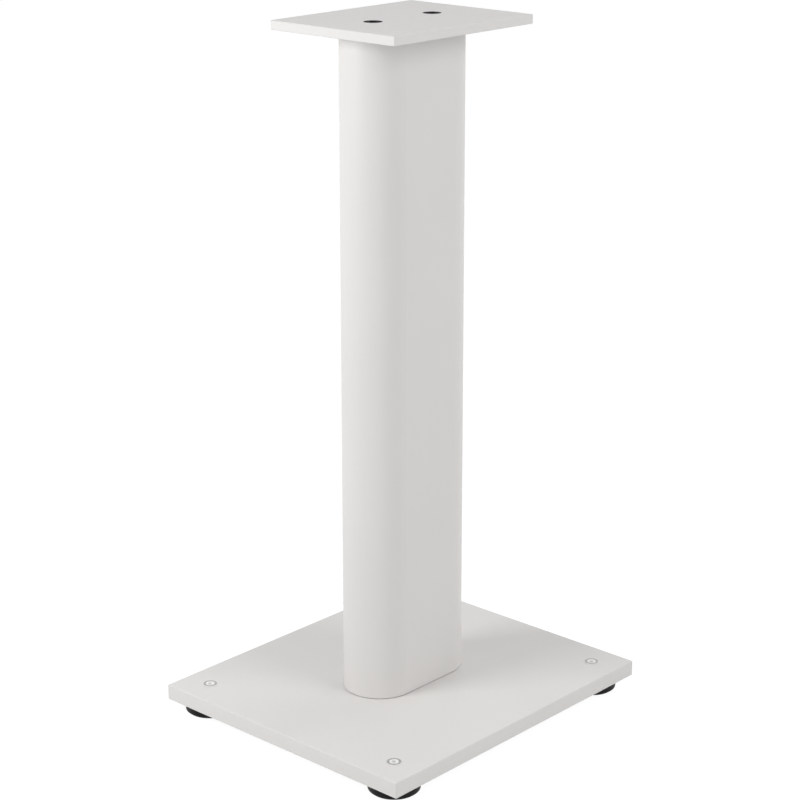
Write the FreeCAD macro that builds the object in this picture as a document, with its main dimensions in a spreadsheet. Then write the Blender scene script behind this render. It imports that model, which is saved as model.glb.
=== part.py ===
import FreeCAD, Part
import math
import os

import Sketcher
from FreeCAD import Rotation, Vector

# A floor stand for one loudspeaker: a square-edged base plate on four screw feet, an obround extruded
# column and a small top plate, held together end to end by countersunk screws.
# Frame: millimetres, origin on the floor under the middle of the base, +Z up.
# The speaker faces -Y, over the narrow side of both plates, and +X is to the stand's right in that view.

SIZES = (
    ("overall_height", 600.0, "floor to the top of the top plate"),
    ("base_width", 269.0, "base plate along X"),
    ("base_depth", 312.0, "base plate along Y"),
    ("base_thickness", 13.5, "base plate"),
    ("top_width", 134.5, "top plate along X"),
    ("top_depth", 168.0, "top plate along Y"),
    ("top_thickness", 7.8, "top plate"),
    ("edge_bevel", 0.4, "broken edges of both plates"),
    ("column_width", 63.0, "column along X, and the diameter of its round ends"),
    ("column_depth", 122.5, "column along Y"),
    ("column_wall", 2.5, "wall of the extrusion"),
    ("column_bevel", 0.5, "deburred outer edge of each sawn end"),
    ("port_spacing", 70.8, "between the two screw ports, along Y"),
    ("port_diameter", 13.0, "outside of a screw port"),
    ("port_slot", 2.4, "slot that opens a screw port to the cavity"),
    ("web_thickness", 2.5, "web from a screw port to the end wall"),
    ("screw_diameter", 8.0, "thread of the column screws"),
    ("screw_hole", 8.6, "clearance hole in a plate for a column screw"),
    ("head_diameter", 15.2, "countersunk head, 90 degree cone"),
    ("head_recess", 0.2, "head below the face of its plate"),
    ("head_socket", 5.0, "hexagon socket across flats"),
    ("head_socket_depth", 3.0, "hexagon socket"),
    ("top_screw_length", 30.0, "overall, with the head"),
    ("base_screw_length", 36.0, "overall, with the head"),
    ("foot_inset", 26.0, "foot centre to the two nearest edges of the base"),
    ("pad_diameter", 43.4, "pad of a foot"),
    ("pad_top", 9.7, "floor to the top of the pad"),
    ("pad_gap", 0.3, "pad to the underside of the base, screwed fully in"),
    ("pad_bevel", 1.2, "lower rim of the pad"),
    ("sole_diameter", 39.0, "rubber sole"),
    ("sole_thickness", 1.0, "rubber sole, bonded under the pad"),
    ("stud_diameter", 8.0, "thread of a foot"),
    ("stud_proud", 0.5, "end of the stud above the base, screwed fully in"),
    ("stud_socket", 4.0, "hexagon socket across flats, in the upper end"),
    ("stud_socket_depth", 5.0, "hexagon socket"),
    ("collar_flats", 13.0, "hexagonal collar at the lower end of the stud, across flats"),
    ("collar_thickness", 2.0, "collar"),
    ("ring_thickness", 2.0, "ring that traps the collar in the pad"),
    ("insert_flats", 11.0, "hexagonal barrel of the threaded insert, across flats"),
    ("insert_length", 12.0, "insert with its flange"),
    ("flange_diameter", 14.2, "flange of the insert"),
    ("flange_thickness", 1.2, "flange of the insert"),
    ("flange_proud", 0.15, "flange above the base"),
    ("fit_clearance", 0.05, "threads, and pressed or glued pieces"),
    ("collar_clearance", 0.3, "radial, round the collar and round the stud in its ring"),
    ("collar_play", 0.2, "collar to the ring above it"),
)

# Heights above the floor that several pieces share.
BASE_UNDERSIDE = "(sizes.pad_top + sizes.pad_gap)"
BASE_TOP = f"({BASE_UNDERSIDE} + sizes.base_thickness)"
COLUMN_TOP = "(sizes.overall_height - sizes.top_thickness)"
RING_SEAT = "(sizes.pad_top - sizes.ring_thickness)"
COLLAR_SEAT = f"({RING_SEAT} - sizes.collar_play - sizes.collar_thickness)"
COLUMN_LENGTH = f"({COLUMN_TOP} - {BASE_TOP})"

# Radii that a piece shares with the hole it goes in.
SCREW_RADIUS = "(sizes.screw_diameter / 2)"
HEAD_RADIUS = "(sizes.head_diameter / 2)"
WELL_RADIUS = "(sizes.collar_flats / sqrt(3) + sizes.collar_clearance)"

# Places in plan, in plain view order: front is -Y and right is +X.
PORT_Y = "(sizes.port_spacing / 2)"
FOOT_X = "(sizes.base_width / 2 - sizes.foot_inset)"
FOOT_Y = "(sizes.base_depth / 2 - sizes.foot_inset)"
SCREW_PLACES = {"front": f"-{PORT_Y}", "rear": PORT_Y}
FOOT_PLACES = {
    "front_left": (f"-{FOOT_X}", f"-{FOOT_Y}"),
    "front_right": (FOOT_X, f"-{FOOT_Y}"),
    "rear_left": (f"-{FOOT_X}", FOOT_Y),
    "rear_right": (FOOT_X, FOOT_Y),
}

doc = FreeCAD.newDocument("speaker_stand")
sheet = doc.addObject("Spreadsheet::Sheet", "sizes")
for row, (alias, value, note) in enumerate(SIZES, start=1):
    sheet.set(f"A{row}", alias)
    sheet.set(f"B{row}", str(value))
    sheet.set(f"C{row}", note)
    sheet.setAlias(f"B{row}", alias)
doc.recompute()
bodies = []


# ---- sketches: every point and size follows an expression in the sheet's names -------------------

def number(expression):
    """The present value of an expression, in mm."""
    return float(sheet.evalExpression(expression))


def new_sketch(body, role, name, **offsets):
    """A sketch on one of the body's origin planes, shifted along the plane's own x, y or z."""
    plane = next(item for item in body.Origin.OriginFeatures if item.Role == role)
    sketch = body.newObject("Sketcher::SketchObject", name)
    sketch.AttachmentSupport = [(plane, "")]
    sketch.MapMode = "FlatFace"
    for axis, expression in offsets.items():
        sketch.setExpression(f"AttachmentOffset.Base.{axis}", expression)
    return sketch


def bind(sketch, kind, *elements, to):
    """A driving constraint whose value follows an expression."""
    index = sketch.addConstraint(Sketcher.Constraint(kind, *elements, number(to)))
    sketch.setExpression(f"Constraints[{index}]", to)


def pin(sketch, geometry, vertex, x, y):
    """Hold a point at x, y; a zero ties it to the sketch's own axis."""
    for kind, expression, axis in (("DistanceX", x, -2), ("DistanceY", y, -1)):
        if expression == "0":
            sketch.addConstraint(Sketcher.Constraint("PointOnObject", geometry, vertex, axis))
        else:
            bind(sketch, kind, -1, 1, geometry, vertex, to=expression)


def add_loop(sketch, corners):
    """A closed loop of straight lines through the corners."""
    points = [Vector(number(x), number(y), 0) for x, y in corners]
    ends = points[1:] + points[:1]
    lines = [sketch.addGeometry(Part.LineSegment(*pair)) for pair in zip(points, ends)]
    for line, following in zip(lines, lines[1:] + lines[:1]):
        sketch.addConstraint(Sketcher.Constraint("Coincident", line, 2, following, 1))
    for line, (x, y) in zip(lines, corners):
        pin(sketch, line, 1, x, y)


def add_box(sketch, x0, x1, y0, y1):
    """A rectangle between two corners."""
    add_loop(sketch, [(x0, y0), (x1, y0), (x1, y1), (x0, y1)])


def add_circle(sketch, diameter, x="0", y="0"):
    """A circle round x, y."""
    middle = Vector(number(x), number(y), 0)
    circle = sketch.addGeometry(Part.Circle(middle, Vector(0, 0, 1), number(diameter) / 2))
    pin(sketch, circle, 3, x, y)
    bind(sketch, "Diameter", circle, to=diameter)


def add_hexagon(sketch, flats, x="0", y="0"):
    """A hexagon across flats round x, y, with two of its corners to the left and right."""
    corner = f"({flats} / sqrt(3))"
    shoulder = f"({corner} / 2)"
    flat = f"({flats} / 2)"
    above = [(f"({x} + {shoulder})", f"({y} + {flat})"), (f"({x} - {shoulder})", f"({y} + {flat})")]
    below = [(f"({x} - {shoulder})", f"({y} - {flat})"), (f"({x} + {shoulder})", f"({y} - {flat})")]
    add_loop(sketch, [(f"({x} + {corner})", y), *above, (f"({x} - {corner})", y), *below])


def add_obround(sketch, width, length):
    """Two half circles across the width, a full length apart along the sketch's y, and their tangents."""
    reach = f"(({length} - {width}) / 2)"
    radius = number(width) / 2
    top, bottom = Vector(0, number(reach), 0), Vector(0, -number(reach), 0)
    side, axis = Vector(radius, 0, 0), Vector(0, 0, 1)
    cap = Part.ArcOfCircle(Part.Circle(top, axis, radius), 0, math.pi)
    cup = Part.ArcOfCircle(Part.Circle(bottom, axis, radius), math.pi, 2 * math.pi)
    left = Part.LineSegment(top - side, bottom - side)
    right = Part.LineSegment(bottom + side, top + side)
    around = [sketch.addGeometry(edge) for edge in (cap, left, cup, right)]
    for edge, following in zip(around, around[1:] + around[:1]):
        sketch.addConstraint(Sketcher.Constraint("Tangent", edge, 2, following, 1))
    for arc, y in ((around[0], reach), (around[2], f"-{reach}")):
        pin(sketch, arc, 3, "0", y)
        bind(sketch, "Diameter", arc, to=width)


# ---- features -------------------------------------------------------------------------------------

def new_body(label, x="0", y="0", z="0", turned_over=False):
    """A sub-part at a place given by expressions; turned over, its own +Z points down."""
    body = doc.addObject("PartDesign::Body", label)
    body.Label = label
    body.Placement.Rotation = Rotation(Vector(1, 0, 0), 180 if turned_over else 0)
    for axis, expression in (("x", x), ("y", y), ("z", z)):
        body.setExpression(f"Placement.Base.{axis}", expression)
    bodies.append(body)
    return body


def pad(body, sketch, length):
    """Raise a sketch by a length."""
    feature = body.newObject("PartDesign::Pad", f"{sketch.Name}_pad")
    feature.Profile = sketch
    feature.Type = "Length"
    feature.setExpression("Length", length)
    return feature


def pocket(body, sketch, depth=None):
    """Cut a sketch down into the body, to a depth or right through."""
    feature = body.newObject("PartDesign::Pocket", f"{sketch.Name}_pocket")
    feature.Profile = sketch
    feature.Type = "Length" if depth else "ThroughAll"
    if depth:
        feature.setExpression("Length", depth)
    return feature


def turn(body, name, profile):
    """A solid turned from a closed profile of radius and height."""
    sketch = new_sketch(body, "XZ_Plane", f"{name}_profile")
    add_loop(sketch, profile)
    feature = body.newObject("PartDesign::Revolution", name)
    feature.Profile = sketch
    feature.ReferenceAxis = (sketch, ["V_Axis"])
    feature.Angle = 360
    return feature


def bore(body, name, profile, x="0", y="0"):
    """A stepped hole turned about an upright axis at x, y, from a closed profile of radius and height."""
    sketch = new_sketch(body, "XZ_Plane", f"{name}_profile", x=x, z=f"-{y}")
    add_loop(sketch, profile)
    feature = body.newObject("PartDesign::Groove", name)
    feature.Profile = sketch
    feature.ReferenceAxis = (sketch, ["V_Axis"])
    feature.Angle = 360
    return feature


def bevel(body, size, level_only=False):
    """Bevel every edge of the body so far, or only those that lie level."""
    doc.recompute()
    solid = body.Tip
    edges = [
        f"Edge{index}" for index, edge in enumerate(solid.Shape.Edges, start=1)
        if edge.BoundBox.ZLength < 0.001 or not level_only
    ]
    feature = body.newObject("PartDesign::Chamfer", f"{body.Name}_bevel")
    feature.Base = (solid, edges)
    feature.setExpression("Size", size)
    return feature


# ---- structure ------------------------------------------------------------------------------------

def plate(label, width, depth, thickness, z):
    """A rectangular plate with its underside at z and its sharp edges broken."""
    body = new_body(label, z=z)
    sketch = new_sketch(body, "XY_Plane", f"{label}_outline")
    add_box(sketch, f"-{width} / 2", f"{width} / 2", f"-{depth} / 2", f"{depth} / 2")
    pad(body, sketch, thickness)
    bevel(body, "sizes.edge_bevel")
    return body


def countersink(body, name, y, thickness, from_above):
    """A countersunk screw hole through a plate, its cone a fit clearance behind the cone of the head."""
    mouth = f"({HEAD_RADIUS} + sizes.head_recess + sizes.fit_clearance)"
    hole = "(sizes.screw_hole / 2)"
    steps = [("0", "0"), (mouth, "0"), (hole, f"({mouth} - {hole})"), (hole, thickness), ("0", thickness)]
    if from_above:
        steps = [(radius, f"({thickness} - {depth})") for radius, depth in steps]
    bore(body, name, steps, y=y)


def make_base_plate():
    """The base plate, with a flanged hexagonal seat for the insert at each corner and two screw holes."""
    size = ("sizes.base_width", "sizes.base_depth", "sizes.base_thickness")
    body = plate("base_plate", *size, z=BASE_UNDERSIDE)
    top = "sizes.base_thickness"
    barrels = new_sketch(body, "XY_Plane", "insert_barrel_seats", z=top)
    flanges = new_sketch(body, "XY_Plane", "insert_flange_seats", z=top)
    for x, y in FOOT_PLACES.values():
        add_hexagon(barrels, "(sizes.insert_flats + 2 * sizes.fit_clearance)", x, y)
        add_circle(flanges, "(sizes.flange_diameter + 2 * sizes.fit_clearance)", x, y)
    pocket(body, barrels)
    pocket(body, flanges, "(sizes.flange_thickness - sizes.flange_proud)")
    for place, y in SCREW_PLACES.items():
        countersink(body, f"base_countersink_{place}", y, top, from_above=False)


def make_top_plate():
    """The top plate, with its two countersunk holes."""
    size = ("sizes.top_width", "sizes.top_depth", "sizes.top_thickness")
    body = plate("top_plate", *size, z=COLUMN_TOP)
    for place, y in SCREW_PLACES.items():
        countersink(body, f"top_countersink_{place}", y, "sizes.top_thickness", from_above=True)


def make_column():
    """The extruded column: an obround tube with two slotted screw ports, each on a web from its end wall."""
    body = new_body("column", z=BASE_TOP)
    length = COLUMN_LENGTH
    outside = new_sketch(body, "XY_Plane", "column_outside")
    add_obround(outside, "sizes.column_width", "sizes.column_depth")
    pad(body, outside, length)
    bevel(body, "sizes.column_bevel", level_only=True)

    inside = new_sketch(body, "XY_Plane", "column_inside", z=length)
    walls = "2 * sizes.column_wall"
    add_obround(inside, f"(sizes.column_width - {walls})", f"(sizes.column_depth - {walls})")
    pocket(body, inside)

    webs = new_sketch(body, "XY_Plane", "column_webs")
    ports = new_sketch(body, "XY_Plane", "column_ports")
    bores = new_sketch(body, "XY_Plane", "column_port_bores", z=length)
    slots = new_sketch(body, "XY_Plane", "column_port_slots", z=length)
    mid_wall = "(sizes.column_depth / 2 - sizes.column_wall / 2)"
    for side in ("-", ""):
        port = f"{side}{PORT_Y}"
        half_web, half_slot = "sizes.web_thickness / 2", "sizes.port_slot / 2"
        add_box(webs, f"-{half_web}", half_web, port, f"{side}{mid_wall}")
        add_circle(ports, "sizes.port_diameter", y=port)
        add_circle(bores, "(sizes.screw_diameter + 2 * sizes.fit_clearance)", y=port)
        add_box(slots, f"-{half_slot}", half_slot, f"{side}({PORT_Y} - sizes.port_diameter)", port)
    pad(body, webs, length)
    pad(body, ports, length)
    pocket(body, bores)
    pocket(body, slots)


# ---- fasteners ------------------------------------------------------------------------------------

def make_column_screw(label, length, y, z, turned_over):
    """A countersunk screw with a hexagon socket; its own z runs from the tip to the face of the head."""
    body = new_body(label, y=y, z=z, turned_over=turned_over)
    neck = f"({length} - ({HEAD_RADIUS} - {SCREW_RADIUS}))"
    shank = [("0", "0"), (SCREW_RADIUS, "0"), (SCREW_RADIUS, neck)]
    turn(body, f"{label}_body", shank + [(HEAD_RADIUS, length), ("0", length)])
    socket = new_sketch(body, "XY_Plane", f"{label}_socket", z=length)
    add_hexagon(socket, "sizes.head_socket")
    pocket(body, socket, "sizes.head_socket_depth")


def make_column_screws():
    """Two screws down through the top plate and two up through the base, into the column's ports."""
    top_z = "sizes.overall_height - sizes.head_recess - sizes.top_screw_length"
    base_z = f"{BASE_UNDERSIDE} + sizes.head_recess + sizes.base_screw_length"
    for place, y in SCREW_PLACES.items():
        make_column_screw(f"top_screw_{place}", "sizes.top_screw_length", y, top_z, turned_over=False)
        make_column_screw(f"base_screw_{place}", "sizes.base_screw_length", y, base_z, turned_over=True)


# ---- feet -----------------------------------------------------------------------------------------

def make_insert(place, x, y):
    """The threaded insert: a hexagonal barrel let into the base from above, with a round flange."""
    body = new_body(f"foot_insert_{place}", x, y, f"{BASE_TOP} + sizes.flange_proud - sizes.insert_length")
    top = "sizes.insert_length"
    ledge = f"({top} - sizes.flange_thickness)"
    barrel = new_sketch(body, "XY_Plane", f"{body.Name}_barrel")
    flange = new_sketch(body, "XY_Plane", f"{body.Name}_flange", z=ledge)
    thread = new_sketch(body, "XY_Plane", f"{body.Name}_thread", z=top)
    add_hexagon(barrel, "sizes.insert_flats")
    add_circle(flange, "sizes.flange_diameter")
    add_circle(thread, "(sizes.stud_diameter + 2 * sizes.fit_clearance)")
    pad(body, barrel, ledge)
    pad(body, flange, "sizes.flange_thickness")
    pocket(body, thread)


def make_stud(place, x, y):
    """The screwed stud: a hexagonal collar that turns in the pad, and a socket in its upper end."""
    body = new_body(f"foot_stud_{place}", x, y, COLLAR_SEAT)
    top = f"({BASE_TOP} + sizes.stud_proud - {COLLAR_SEAT})"
    collar = new_sketch(body, "XY_Plane", f"{body.Name}_collar")
    shank = new_sketch(body, "XY_Plane", f"{body.Name}_shank")
    socket = new_sketch(body, "XY_Plane", f"{body.Name}_socket", z=top)
    add_hexagon(collar, "sizes.collar_flats")
    add_circle(shank, "sizes.stud_diameter")
    add_hexagon(socket, "sizes.stud_socket")
    pad(body, collar, "sizes.collar_thickness")
    pad(body, shank, top)
    pocket(body, socket, "sizes.stud_socket_depth")


def make_pad(place, x, y):
    """The pad: a disc with a bevelled lower rim and a round well above for the collar and its ring."""
    body = new_body(f"foot_pad_{place}", x, y, "sizes.sole_thickness")
    height = "(sizes.pad_top - sizes.sole_thickness)"
    rim = "(sizes.pad_diameter / 2)"
    well_floor = f"({COLLAR_SEAT} - sizes.sole_thickness)"
    turn(body, f"{body.Name}_body", [
        ("0", "0"),
        (f"({rim} - sizes.pad_bevel)", "0"),
        (rim, "sizes.pad_bevel"),
        (rim, height),
        (WELL_RADIUS, height),
        (WELL_RADIUS, well_floor),
        ("0", well_floor),
    ])


def make_ring(place, x, y):
    """The ring pressed into the pad's well, over the collar."""
    body = new_body(f"foot_ring_{place}", x, y, RING_SEAT)
    sketch = new_sketch(body, "XY_Plane", f"{body.Name}_section")
    add_circle(sketch, f"(2 * ({WELL_RADIUS} - sizes.fit_clearance))")
    add_circle(sketch, "(sizes.stud_diameter + 2 * sizes.collar_clearance)")
    pad(body, sketch, "sizes.ring_thickness")


def make_sole(place, x, y):
    """The rubber sole under the pad; its underside is on the floor."""
    body = new_body(f"foot_sole_{place}", x, y)
    sketch = new_sketch(body, "XY_Plane", f"{body.Name}_outline")
    add_circle(sketch, "sizes.sole_diameter")
    pad(body, sketch, "sizes.sole_thickness")


# ---- build, check and write ----------------------------------------------------------------------

def check():
    """Stop on a failed object, a broken solid, or a feature that adds or removes nothing."""
    for item in doc.Objects:
        if "Invalid" in item.State or "Error" in item.State:
            raise RuntimeError(f"{item.Label} failed: {item.State}")
    for item in doc.Objects:
        before = getattr(item, "BaseFeature", None)
        if before and item.TypeId != "PartDesign::Body":
            change = item.Shape.Volume - before.Shape.Volume
            grows = item.TypeId == "PartDesign::Pad"
            if (change if grows else -change) < 0.001:
                raise RuntimeError(f"{item.Label} changes the volume by {change}")
    for body in bodies:
        if body.Shape.isNull() or not body.Shape.isValid() or len(body.Shape.Solids) != 1:
            raise RuntimeError(f"{body.Label} is not one valid solid")


make_base_plate()
make_column()
make_top_plate()
make_column_screws()
for corner, (foot_x, foot_y) in FOOT_PLACES.items():
    for make_piece in (make_insert, make_stud, make_pad, make_ring, make_sole):
        make_piece(corner, foot_x, foot_y)

doc.recompute()
check()
os.makedirs("parts", exist_ok=True)
for body in bodies:
    body.Shape.exportStep(f"parts/{body.Label}.step")
    box = body.Shape.BoundBox
    print(f"{body.Label}: {body.Shape.Volume / 1000:.2f} cm3, z {box.ZMin:.2f} to {box.ZMax:.2f} mm")
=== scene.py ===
"""Looks for a loudspeaker floor stand: white powder-coated plates and column, black levelling feet.

The profiles of turned pieces and the sizes in them are in millimetres, and everything else is in metres.
"""

import math

import bpy
from mathutils import Matrix, Vector


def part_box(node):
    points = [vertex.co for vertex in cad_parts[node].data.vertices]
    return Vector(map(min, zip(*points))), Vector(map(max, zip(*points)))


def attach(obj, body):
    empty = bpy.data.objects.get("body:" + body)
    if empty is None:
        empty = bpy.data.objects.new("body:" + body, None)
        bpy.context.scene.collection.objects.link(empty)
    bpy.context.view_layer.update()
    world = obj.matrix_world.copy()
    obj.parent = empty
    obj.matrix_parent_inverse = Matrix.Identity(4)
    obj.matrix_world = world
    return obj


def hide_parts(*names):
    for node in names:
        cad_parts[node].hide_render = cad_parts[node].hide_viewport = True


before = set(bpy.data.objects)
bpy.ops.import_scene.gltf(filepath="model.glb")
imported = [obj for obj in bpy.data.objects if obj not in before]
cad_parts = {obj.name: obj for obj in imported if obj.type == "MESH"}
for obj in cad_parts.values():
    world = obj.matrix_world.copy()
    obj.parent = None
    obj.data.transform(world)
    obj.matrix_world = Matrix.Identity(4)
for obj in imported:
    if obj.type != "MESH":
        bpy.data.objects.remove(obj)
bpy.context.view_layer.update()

MM = 0.001
CORNERS = ("front_left", "front_right", "rear_left", "rear_right")
ENDS = ("front", "rear")


def add_object(name, data):
    """A new object in the scene."""
    item = bpy.data.objects.new(name, data)
    bpy.context.scene.collection.objects.link(item)
    return item


# ---- camera ---------------------------------------------------------------------------------------

IMAGE_SIZE = 800                        # pixels, both ways
FOCAL_PIXELS = 2182.41
OPTICAL_CENTRE = (392.16, 327.10)       # pixels from the left and from the top
CAMERA_AT = (1.18715, -1.30502, 0.84120)
CAMERA_YAW = math.radians(42.586)
CAMERA_PITCH = math.radians(15.871)     # downwards
CAMERA_ROLL = math.radians(-0.091)
SENSOR_WIDTH = 36.0


def make_camera():
    """A camera at the viewpoint and with the lens of the photograph."""
    data = bpy.data.cameras.new("camera")
    data.sensor_width = SENSOR_WIDTH
    data.lens = FOCAL_PIXELS / IMAGE_SIZE * SENSOR_WIDTH
    half = IMAGE_SIZE / 2
    data.shift_x = (half - OPTICAL_CENTRE[0]) / IMAGE_SIZE
    data.shift_y = (OPTICAL_CENTRE[1] - half) / IMAGE_SIZE
    turn = (
        Matrix.Rotation(CAMERA_YAW, 4, "Z")
        @ Matrix.Rotation(math.pi / 2 - CAMERA_PITCH, 4, "X")
        @ Matrix.Rotation(CAMERA_ROLL, 4, "Z")
    )
    camera = add_object("camera", data)
    camera.matrix_world = Matrix.Translation(CAMERA_AT) @ turn
    bpy.context.scene.camera = camera


# ---- materials ------------------------------------------------------------------------------------

MIDDLE_TONES = (0.3, 0.7)               # the range of a noise that a variation follows
PAINT_DARK = (0.725, 0.711, 0.696)
PAINT_LIGHT = (0.746, 0.731, 0.716)
SEAM_HEIGHT = 0.5 * MM                  # the bevel at the column's foot
# painted shade: the grey of the shadow line in the bevel at the column's foot
SEAM_SHADE_GREY = 0.15


def new_material(name, colour, roughness, metallic=0.0, specular=0.5):
    """A principled material with its constant values on the shader's own sockets."""
    material = bpy.data.materials.new(name)
    material.use_nodes = True
    shader = material.node_tree.nodes["Principled BSDF"]
    shader.inputs["Base Color"].default_value = (*colour, 1)
    shader.inputs["Roughness"].default_value = roughness
    shader.inputs["Metallic"].default_value = metallic
    shader.inputs["Specular IOR Level"].default_value = specular
    return material, shader


def add_noise(material, scale, detail=3.0):
    """Noise in object space; scale is in lumps a metre."""
    nodes, links = material.node_tree.nodes, material.node_tree.links
    coordinates = nodes.new("ShaderNodeTexCoord")
    noise = nodes.new("ShaderNodeTexNoise")
    noise.inputs["Scale"].default_value = scale
    noise.inputs["Detail"].default_value = detail
    links.new(coordinates.outputs["Object"], noise.inputs["Vector"])
    return noise


def vary_colour(material, shader, scale, dark, light):
    """Let a noise move the base colour from dark to light."""
    nodes, links = material.node_tree.nodes, material.node_tree.links
    ramp = nodes.new("ShaderNodeValToRGB")
    for stop, position, colour in zip(ramp.color_ramp.elements, MIDDLE_TONES, (dark, light)):
        stop.position = position
        stop.color = (*colour, 1)
    links.new(add_noise(material, scale).outputs["Fac"], ramp.inputs["Fac"])
    links.new(ramp.outputs["Color"], shader.inputs["Base Color"])


def vary_roughness(material, shader, scale, low, high):
    """Let a noise move the roughness from low to high."""
    nodes, links = material.node_tree.nodes, material.node_tree.links
    spread = nodes.new("ShaderNodeMapRange")
    spread.inputs["From Min"].default_value, spread.inputs["From Max"].default_value = MIDDLE_TONES
    spread.inputs["To Min"].default_value = low
    spread.inputs["To Max"].default_value = high
    links.new(add_noise(material, scale).outputs["Fac"], spread.inputs["Value"])
    links.new(spread.outputs["Result"], shader.inputs["Roughness"])


def add_grain(material, shader, scale, height, strength, detail=2.0):
    """A fine bump, its height in metres."""
    nodes, links = material.node_tree.nodes, material.node_tree.links
    bump = nodes.new("ShaderNodeBump")
    bump.inputs["Strength"].default_value = strength
    bump.inputs["Distance"].default_value = height
    links.new(add_noise(material, scale, detail).outputs["Fac"], bump.inputs["Height"])
    links.new(bump.outputs["Normal"], shader.inputs["Normal"])


def powder_coat(name):
    """White paint baked on as powder: a faint orange peel and barely uneven tone and gloss."""
    material, shader = new_material(name, PAINT_LIGHT, roughness=0.5)
    vary_colour(material, shader, scale=9, dark=PAINT_DARK, light=PAINT_LIGHT)
    vary_roughness(material, shader, scale=160, low=0.44, high=0.54)
    add_grain(material, shader, scale=900, height=0.02 * MM, strength=0.35)
    return material


def paint_shade_below(material, height, grey):
    """Paint a coat grey below a height: painted shade for the thin dark line of shadow where the column
    meets the base.
    """
    nodes, links = material.node_tree.nodes, material.node_tree.links
    colour = nodes["Principled BSDF"].inputs["Base Color"]
    coat = colour.links[0].from_socket
    coordinates = nodes.new("ShaderNodeTexCoord")
    split = nodes.new("ShaderNodeSeparateXYZ")
    below = nodes.new("ShaderNodeMath")
    below.operation = "LESS_THAN"
    below.inputs[1].default_value = height
    mix = nodes.new("ShaderNodeMix")
    mix.data_type = "RGBA"
    mix.inputs["B"].default_value = (grey, grey, grey, 1)
    links.new(coordinates.outputs["Object"], split.inputs[0])
    links.new(split.outputs["Z"], below.inputs[0])
    links.new(below.outputs[0], mix.inputs["Factor"])
    links.new(coat, mix.inputs["A"])
    links.new(mix.outputs["Result"], colour)


def black_oxide():
    """Blackened steel, almost matt."""
    material, shader = new_material("black_oxide", (0.008, 0.008, 0.009), roughness=0.7, specular=0.05)
    vary_roughness(material, shader, scale=500, low=0.6, high=0.8)
    add_grain(material, shader, scale=2500, height=0.01 * MM, strength=0.4)
    return material


def zinc():
    """Zinc-plated steel."""
    material, shader = new_material("zinc", (0.44, 0.44, 0.43), roughness=0.45, metallic=0.5)
    vary_colour(material, shader, scale=700, dark=(0.41, 0.41, 0.40), light=(0.47, 0.47, 0.46))
    vary_roughness(material, shader, scale=1500, low=0.4, high=0.55)
    return material


def white_plating():
    """The pale coating of the studs."""
    material, shader = new_material("white_plating", (0.87, 0.87, 0.86), roughness=0.42)
    vary_colour(material, shader, scale=600, dark=(0.85, 0.85, 0.84), light=(0.89, 0.89, 0.88))
    add_grain(material, shader, scale=2000, height=0.01 * MM, strength=0.3)
    return material


def moulded_black():
    """Moulded black plastic with a fine even grain."""
    material, shader = new_material("moulded_black", (0.008, 0.008, 0.008), roughness=0.45, specular=0.14)
    vary_colour(material, shader, scale=120, dark=(0.006, 0.006, 0.006), light=(0.011, 0.011, 0.011))
    vary_roughness(material, shader, scale=900, low=0.42, high=0.58)
    add_grain(material, shader, scale=3500, height=0.02 * MM, strength=0.5)
    return material


def sole_rubber():
    """Matt black rubber."""
    material, shader = new_material("sole_rubber", (0.012, 0.012, 0.012), roughness=0.85)
    vary_roughness(material, shader, scale=400, low=0.78, high=0.92)
    add_grain(material, shader, scale=1800, height=0.03 * MM, strength=0.6, detail=3.0)
    return material


def dress(node, material):
    """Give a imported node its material."""
    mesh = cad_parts[node].data
    mesh.materials.clear()
    mesh.materials.append(material)


# ---- turned pieces --------------------------------------------------------------------------------

SEGMENTS = 96                           # round a turned piece; a multiple of 6, so hexagons keep corners
THREAD_SEGMENTS = 48
ROWS_PER_PITCH = 6
ARC_STEPS = 5
SHARP = math.radians(38)                # a steeper edge isn't shaded smooth

# The form of a metric thread, as shares of its pitch.
THREAD_DEPTH = 0.6134
CREST_FLAT = 0.125
BOTH_FLANKS = 0.625


def hexagon(flats):
    """The radius of a hexagon across flats, as a function of the angle; a corner lies on +X."""
    sector = math.pi / 3
    return lambda angle, height: flats / 2 / math.cos(angle % sector - sector / 2)


def thread(major, pitch):
    """The radius of a right-hand metric thread, as a function of angle and height."""
    def radius(angle, height):
        from_crest = 2 * abs((height / pitch - angle / math.tau) % 1 - 0.5)
        drop = min(max((from_crest - CREST_FLAT) / BOTH_FLANKS, 0), 1)
        return major - THREAD_DEPTH * pitch * drop
    return radius


def threaded(major, pitch, low, high):
    """A threaded stretch of a profile, from one height to another."""
    radius = thread(major, pitch)
    rows = round((high - low) / pitch * ROWS_PER_PITCH)
    heights = [low + (high - low) * row / rows for row in range(rows + 1)]
    return [(radius, height) for height in heights]


def arc(centre, radius, start, end):
    """Points of a profile round a centre, from one angle to another in degrees."""
    turns = [math.radians(start + (end - start) * step / ARC_STEPS) for step in range(ARC_STEPS + 1)]
    return [(centre[0] + radius * math.cos(turn), centre[1] + radius * math.sin(turn)) for turn in turns]


def bridge(below, above):
    """The faces between two rings of points; a ring of one point is the tip of a cone."""
    count = max(len(below), len(above))
    faces = []
    for step in range(count):
        following = (step + 1) % count
        if len(below) == 1:
            faces.append((below[0], above[following], above[step]))
        elif len(above) == 1:
            faces.append((below[step], below[following], above[0]))
        else:
            faces.append((below[step], below[following], above[following], above[step]))
    return faces


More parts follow.
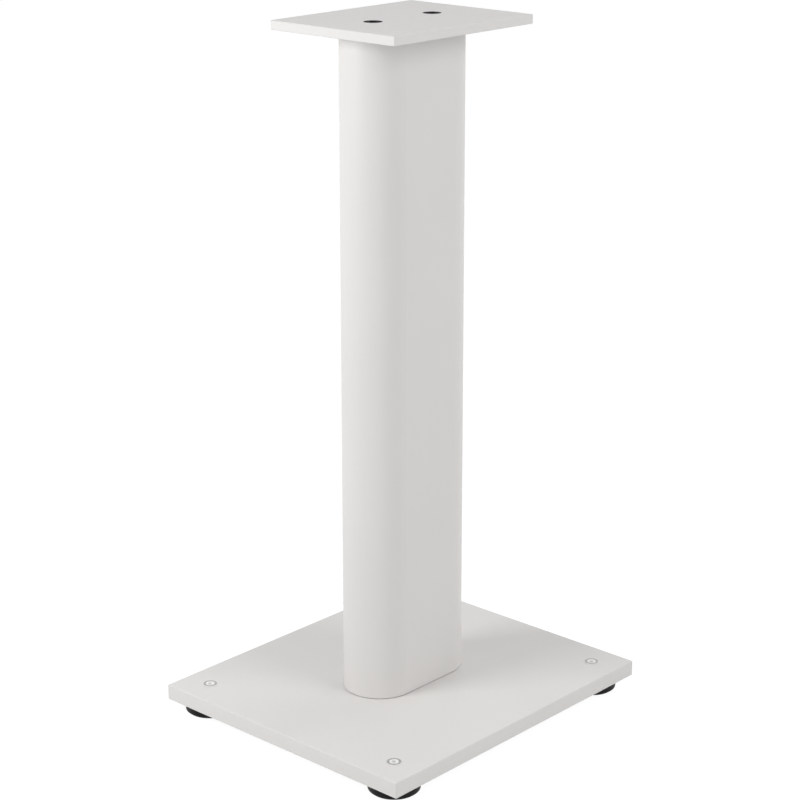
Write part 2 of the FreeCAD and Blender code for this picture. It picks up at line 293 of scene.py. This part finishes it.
def turned(name, profile, middle, material, closed=False, segments=SEGMENTS):
    """A piece turned about an upright axis, from (radius, height) points in mm; middle is in metres.

    A radius may be a function of angle and height. An end at radius 0 closes to a point, and a closed
    profile joins its last point to its first.
    """
    points, faces, rings = [], [], []
    for radius, height in profile:
        count = segments if radius else 1
        rings.append(range(len(points), len(points) + count))
        for step in range(count):
            angle = math.tau * step / count
            reach = (radius(angle, height) if callable(radius) else radius) * MM
            x, y = middle[0] + reach * math.cos(angle), middle[1] + reach * math.sin(angle)
            points.append((x, y, middle[2] + height * MM))
    for below, above in zip(rings, rings[1:] + rings[:1] if closed else rings[1:]):
        faces += bridge(below, above)
    mesh = bpy.data.meshes.new(name)
    mesh.from_pydata(points, [], faces)
    mesh.shade_smooth()
    mesh.set_sharp_from_angle(angle=SHARP)
    mesh.materials.append(material)
    return add_object(name, mesh)


def paint_beyond(piece, middle, radius, material):
    """Give the faces of a turned piece that lie farther out than a radius a second material."""
    piece.data.materials.append(material)
    for face in piece.data.polygons:
        if math.hypot(face.center.x - middle[0], face.center.y - middle[1]) > radius * MM:
            face.material_index = 1


def place(piece, node, body):
    """Let a piece stand for a node: put it on its body, and hide the node."""
    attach(piece, body)
    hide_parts(node)


def measure(node):
    """(middle of the underside in metres, radius in mm, height in mm) of an upright round node."""
    low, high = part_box(node)
    middle = ((low[0] + high[0]) / 2, (low[1] + high[1]) / 2, low[2])
    return middle, (high[1] - low[1]) / 2 / MM, (high[2] - low[2]) / MM


# ---- feet and screws ------------------------------------------------------------------------------

PITCH = 1.25                            # M8, coarse
MAJOR_RADIUS = 3.98                     # M8, just under its nominal 4

SOCKET_BEVEL = 0.05                     # beyond the hexagon's corners
SOCKET_BEVEL_DEPTH = 0.1

PAD_LOWER_ROUND = 1.7
PAD_UPPER_ROUND = 0.8
WELL_RADIUS = 7.8
WELL_FLOOR = 4.4                        # just clear of the collar

SOLE_ROUND = 0.35
SOLE_GROOVES = (6.0, 10.0, 14.0)        # radii
GROOVE_HALF_WIDTH = 0.7
GROOVE_DEPTH = 0.4

COLLAR_FLATS = 12.95
COLLAR_HEIGHT = 2.0
FIRST_ROW = 0.2                         # of the thread, above the collar
STUD_SOCKET = (4.0, 2.5)                # across flats, depth
STUD_CHAMFER = 0.1

INSERT_FLATS = 10.98
INSERT_BORE = 4.05
FLANGE_THICKNESS = 1.2
FLANGE_CROWN = 0.35                     # the flange's middle above its rim
CROWN_RADIUS = 6.0                      # paint covers the rim from here outwards
BORE_BEVEL = 0.25

SCREW_SOCKET = (5.0, 3.0)               # across flats, depth
HEAD_LIFT = 0.15                        # the face stands higher in its countersink than the plain solid
PLAIN_SHANK = 0.5                       # below the cone of the head
RUN_OUT = 0.5                           # of the thread, below the plain shank
TIP_BEVEL = 1.0


def socket(flats, depth, top):
    """The end of a profile: a bevelled hexagon socket with a drilled cone for a floor."""
    corner_radius = flats / math.sqrt(3)
    drilled = flats / 2
    return [
        (corner_radius + SOCKET_BEVEL, top),
        (hexagon(flats), top - SOCKET_BEVEL_DEPTH),
        (hexagon(flats), top - depth),
        (drilled, top - depth),
        (0, top - depth - drilled / math.sqrt(3)),
    ]


def make_pad(corner):
    """A foot's pad: rounded rims, and the well for the stud's collar."""
    middle, radius, height = measure(f"foot_pad_{corner}")
    lower = arc((radius - PAD_LOWER_ROUND, PAD_LOWER_ROUND), PAD_LOWER_ROUND, -90, 0)
    upper = arc((radius - PAD_UPPER_ROUND, height - PAD_UPPER_ROUND), PAD_UPPER_ROUND, 0, 90)
    well = [(WELL_RADIUS, height), (WELL_RADIUS, WELL_FLOOR), (0, WELL_FLOOR)]
    pad = turned(f"pad_moulding_{corner}", [(0, 0), *lower, *upper, *well], middle, foot_black)
    place(pad, f"foot_pad_{corner}", f"pad_{corner}")


def make_sole(corner):
    """A foot's rubber sole, with round grooves underneath."""
    middle, radius, height = measure(f"foot_sole_{corner}")
    underside = [(0, 0)]
    for groove in SOLE_GROOVES:
        inner, outer = groove - GROOVE_HALF_WIDTH, groove + GROOVE_HALF_WIDTH
        underside += [(inner, 0), (inner, GROOVE_DEPTH), (outer, GROOVE_DEPTH), (outer, 0)]
    rim = arc((radius - SOLE_ROUND, SOLE_ROUND), SOLE_ROUND, -90, 0)
    profile = [*underside, *rim, (radius, height), (0, height)]
    sole = turned(f"sole_disc_{corner}", profile, middle, rubber)
    place(sole, f"foot_sole_{corner}", f"pad_{corner}")


def make_stud(corner):
    """A foot's stud: hexagonal collar, thread, and the socket in its upper end."""
    middle, _, height = measure(f"foot_stud_{corner}")
    collar = hexagon(COLLAR_FLATS)
    profile = [
        (0, 0), (collar, 0), (collar, COLLAR_HEIGHT), (thread(MAJOR_RADIUS, PITCH), COLLAR_HEIGHT),
        *threaded(MAJOR_RADIUS, PITCH, COLLAR_HEIGHT + FIRST_ROW, height - STUD_CHAMFER),
        (MAJOR_RADIUS - STUD_CHAMFER, height), *socket(*STUD_SOCKET, height),
    ]
    stud = turned(f"stud_thread_{corner}", profile, middle, stud_white, segments=THREAD_SEGMENTS)
    place(stud, f"foot_stud_{corner}", f"stud_{corner}")


def make_insert(corner):
    """A foot's insert: hexagonal barrel, and a crowned flange with the plate's paint over its rim."""
    middle, radius, height = measure(f"foot_insert_{corner}")
    ledge, crown = height - FLANGE_THICKNESS, height + FLANGE_CROWN
    barrel = hexagon(INSERT_FLATS)
    profile = [
        (INSERT_BORE, 0), (barrel, 0), (barrel, ledge), (radius, ledge), (radius, height),
        (CROWN_RADIUS, crown), (INSERT_BORE + BORE_BEVEL, crown), (INSERT_BORE, crown - BORE_BEVEL),
    ]
    insert = turned(f"insert_bush_{corner}", profile, middle, insert_zinc, closed=True)
    paint_beyond(insert, middle, CROWN_RADIUS, plate_paint)
    place(insert, f"foot_insert_{corner}", "stand")


def make_screw(node, points_down):
    """A countersunk socket screw, made with its tip down and turned over where it points up."""
    middle, head, length = measure(node)
    neck = length - (head - MAJOR_RADIUS)       # the head is a 90-degree cone
    face, rim = length + HEAD_LIFT, head + HEAD_LIFT
    profile = [
        (0, 0), (MAJOR_RADIUS - TIP_BEVEL, 0),
        *threaded(MAJOR_RADIUS, PITCH, TIP_BEVEL, neck - PLAIN_SHANK - RUN_OUT),
        (MAJOR_RADIUS, neck - PLAIN_SHANK), (MAJOR_RADIUS, neck), (rim, face),
        *socket(*SCREW_SOCKET, face),
    ]
    screw = turned(f"{node}_cut", profile, (0, 0, 0), screw_black, segments=THREAD_SEGMENTS)
    flip = Matrix.Identity(4) if points_down else Matrix.Rotation(math.pi, 4, "X")
    lift = middle[2] if points_down else middle[2] + length * MM
    screw.data.transform(Matrix.Translation((middle[0], middle[1], lift)) @ flip)
    place(screw, node, "stand")


# ---- floor, backdrop and light --------------------------------------------------------------------

WHITE = (1, 1, 1, 1)
FLOOR_HALF = 6.0
FLOOR_COLOUR = (0.8, 0.8, 0.8)
FLOOR_GLOW = 0.8                        # share of the floor's own white in what the camera sees
FLOOR_WHITE = 1.16                      # strength of that white, so that the lit floor comes out white
WORLD_STRENGTH = 0.465
LAMPS = (                               # name, place, side of the square in metres, watts
    ("front_light", (-0.4, -1.0, 0.8), 0.5, 7.4),
    ("side_light", (1.6, 0.3, 1.2), 1.0, 10.9),
    ("rear_light", (0, 2.0, 1.4), 1.2, 8.0),
)
LAMP_AIM = (0, 0, 0.3)


def seen_by_eye(tree):
    """1 where the camera, a reflection or a see-through path looks, and 0 elsewhere."""
    path = tree.nodes.new("ShaderNodeLightPath")
    any_of = path.outputs["Is Camera Ray"]
    for name in ("Is Glossy Ray", "Is Transmission Ray"):
        either = tree.nodes.new("ShaderNodeMath")
        either.operation = "MAXIMUM"
        tree.links.new(any_of, either.inputs[0])
        tree.links.new(path.outputs[name], either.inputs[1])
        any_of = either.outputs[0]
    return any_of


def mix_where_seen(tree, share, lit, seen, surface):
    """Mix the seen shader over the lit one by a share, but only where the eye looks."""
    part = tree.nodes.new("ShaderNodeMath")
    part.operation = "MULTIPLY"
    part.inputs[1].default_value = share
    mix = tree.nodes.new("ShaderNodeMixShader")
    tree.links.new(seen_by_eye(tree), part.inputs[0])
    tree.links.new(part.outputs[0], mix.inputs["Fac"])
    tree.links.new(lit.outputs[0], mix.inputs[1])
    tree.links.new(seen.outputs[0], mix.inputs[2])
    tree.links.new(mix.outputs[0], surface)


def make_stage():
    """A pale floor that keeps the stand's shadow, under a white surround."""
    mesh = bpy.data.meshes.new("floor")
    edge = (-FLOOR_HALF, FLOOR_HALF)
    mesh.from_pydata([(x, y, 0) for x in edge for y in edge], [], [(0, 2, 3, 1)])
    floor = add_object("floor", mesh)
    material, shader = new_material("floor_white", FLOOR_COLOUR, roughness=0.9, specular=0.1)
    mesh.materials.append(material)
    tree = material.node_tree
    glow = tree.nodes.new("ShaderNodeEmission")
    glow.inputs["Strength"].default_value = FLOOR_WHITE
    mix_where_seen(tree, FLOOR_GLOW, shader, glow, tree.nodes["Material Output"].inputs["Surface"])


def make_world():
    """An even pale surround that is white where it is seen."""
    world = bpy.data.worlds.new("surround")
    world.use_nodes = True
    bpy.context.scene.world = world
    tree = world.node_tree
    lit = tree.nodes["Background"]
    lit.inputs["Color"].default_value = WHITE
    lit.inputs["Strength"].default_value = WORLD_STRENGTH
    white = tree.nodes.new("ShaderNodeBackground")
    white.inputs["Color"].default_value = WHITE
    white.inputs["Strength"].default_value = 1.0
    mix_where_seen(tree, 1.0, lit, white, tree.nodes["World Output"].inputs["Surface"])


def make_lamp(name, at, side, power):
    """A soft square lamp that faces the stand and isn't seen by the camera."""
    data = bpy.data.lights.new(name, "AREA")
    data.shape = "SQUARE"
    data.size = side
    data.energy = power
    away = Vector(at) - Vector(LAMP_AIM)
    lamp = add_object(name, data)
    lamp.matrix_world = Matrix.Translation(at) @ away.to_track_quat("Z", "Y").to_matrix().to_4x4()
    lamp.visible_camera = False


# ---- build ----------------------------------------------------------------------------------------

bpy.context.scene.view_settings.view_transform = "Standard"
make_camera()
make_stage()
make_world()
for lamp in LAMPS:
    make_lamp(*lamp)

plate_paint = powder_coat("plate_paint")
# the column's paint also carries painted shade: grey in the bevel at its foot
column_paint_and_seam_shade = powder_coat("column_paint_and_seam_shade")
# painted shade: the column's coat turns grey in the bevel at its foot, for the shadow where it meets the
# base
paint_shade_below(column_paint_and_seam_shade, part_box("column")[0][2] + SEAM_HEIGHT, SEAM_SHADE_GREY)
screw_black = black_oxide()
insert_zinc = zinc()
stud_white = white_plating()
foot_black = moulded_black()
rubber = sole_rubber()

dress("base_plate", plate_paint)
dress("top_plate", plate_paint)
dress("column", column_paint_and_seam_shade)
for end in ENDS:
    make_screw(f"top_screw_{end}", points_down=True)
    make_screw(f"base_screw_{end}", points_down=False)
for corner in CORNERS:
    dress(f"foot_ring_{corner}", insert_zinc)
    for make_piece in (make_pad, make_sole, make_stud, make_insert):
        make_piece(corner)
